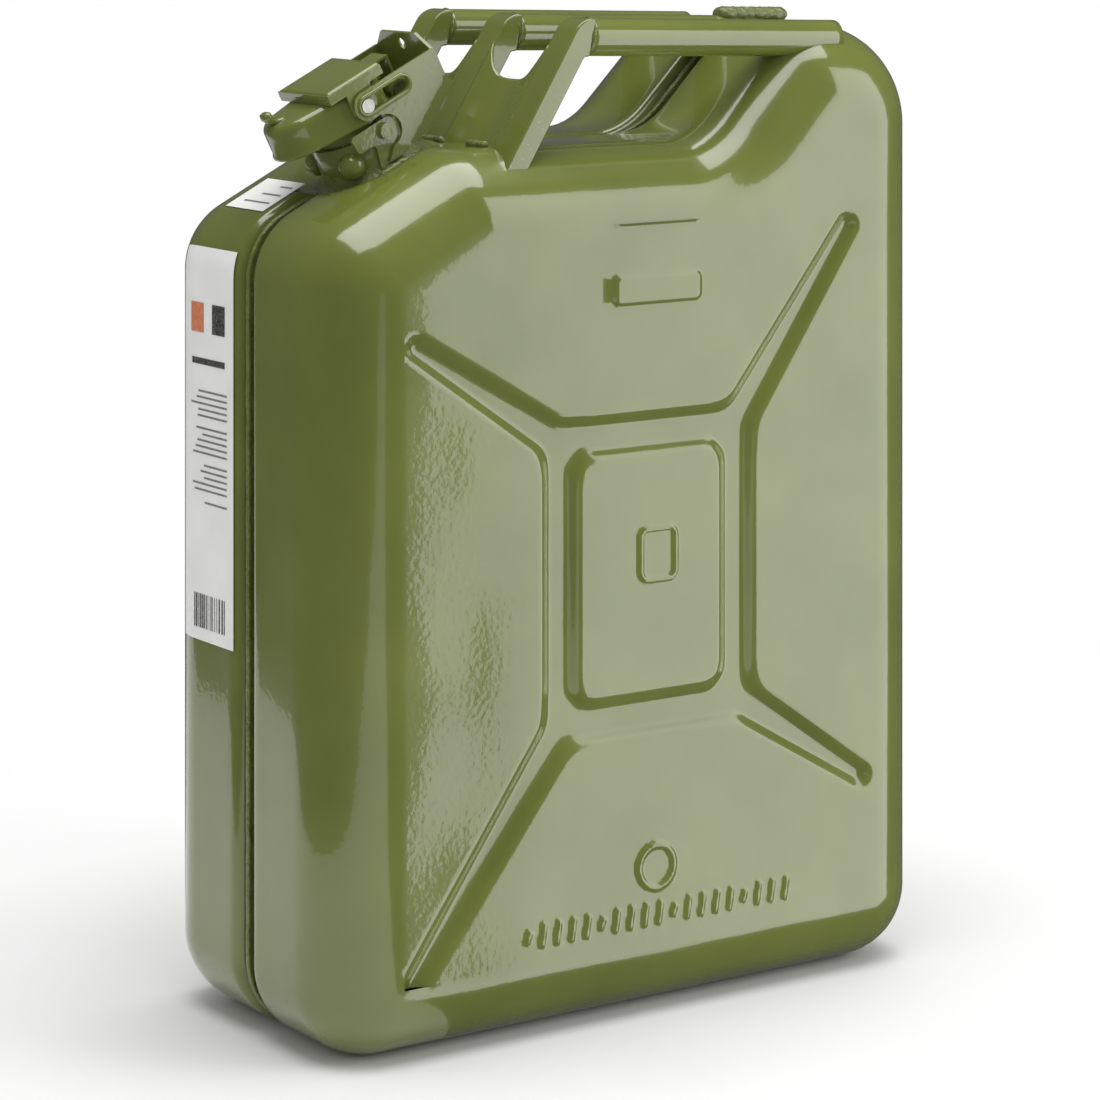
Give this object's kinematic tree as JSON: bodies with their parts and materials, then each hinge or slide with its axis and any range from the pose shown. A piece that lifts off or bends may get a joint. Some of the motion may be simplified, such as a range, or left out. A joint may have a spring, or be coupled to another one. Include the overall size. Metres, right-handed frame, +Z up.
{
  "type": "jerry can",
  "caption": "Upright pressed-steel fuel can with a stiffening cross, bar handles over a trough, and a sloping filler neck closed by a hinged lid and locking lever.",
  "frame": {"origin": "centre of the can's footprint on the ground, in the plane of the weld seam", "axes": "+Z up, -X towards the filler neck and the narrow spout end, -Y towards the left broad face"},
  "size_m": [0.3453, 0.165, 0.47],
  "materials": {
    "olive_paint": "gloss enamel over pressed steel",
    "bare_steel": "zinc plated",
    "seal": "matt",
    "paper": "coated paper"
  },
  "bodies": {
    "can": {"left_shell": "olive_paint", "right_shell": "olive_paint", "seam_weld": "olive_paint", "left_handle": "olive_paint", "centre_handle": "olive_paint", "right_handle": "olive_paint", "handle_welds": "olive_paint", "neck": "olive_paint", "neck_weld": "olive_paint", "neck_lugs": "olive_paint", "left_hook_plate": "olive_paint", "right_hook_plate": "olive_paint", "hook_plate_welds": "olive_paint", "hinge_bracket": "olive_paint", "hinge_pin": "bare_steel", "breather_tube": "bare_steel", "breather_clip": "bare_steel", "side_label": "paper", "top_label": "paper"},
    "lid": {"lid": "olive_paint", "lid_saddle": "olive_paint", "lid_gasket": "seal", "lever_pins": "bare_steel"},
    "lever": {"lever": "olive_paint"}
  },
  "joints": [
    {"name": "lid_hinge", "type": "hinge", "parent": "can", "child": "lid", "pos_m": [-0.09236, 0, 0.43608], "axis": [0, 1, 0], "range_deg": [0, 110]},
    {"name": "lever_hinge", "type": "hinge", "parent": "lid", "child": "lever", "pos_m": [-0.12049, 0, 0.43005], "axis": [0, -1, 0], "range_deg": [0, 143]}
  ],
  "couplings": [
    {"joint": "lever_hinge", "follows": "lid_hinge", "ratio": 1.3}
  ]
}
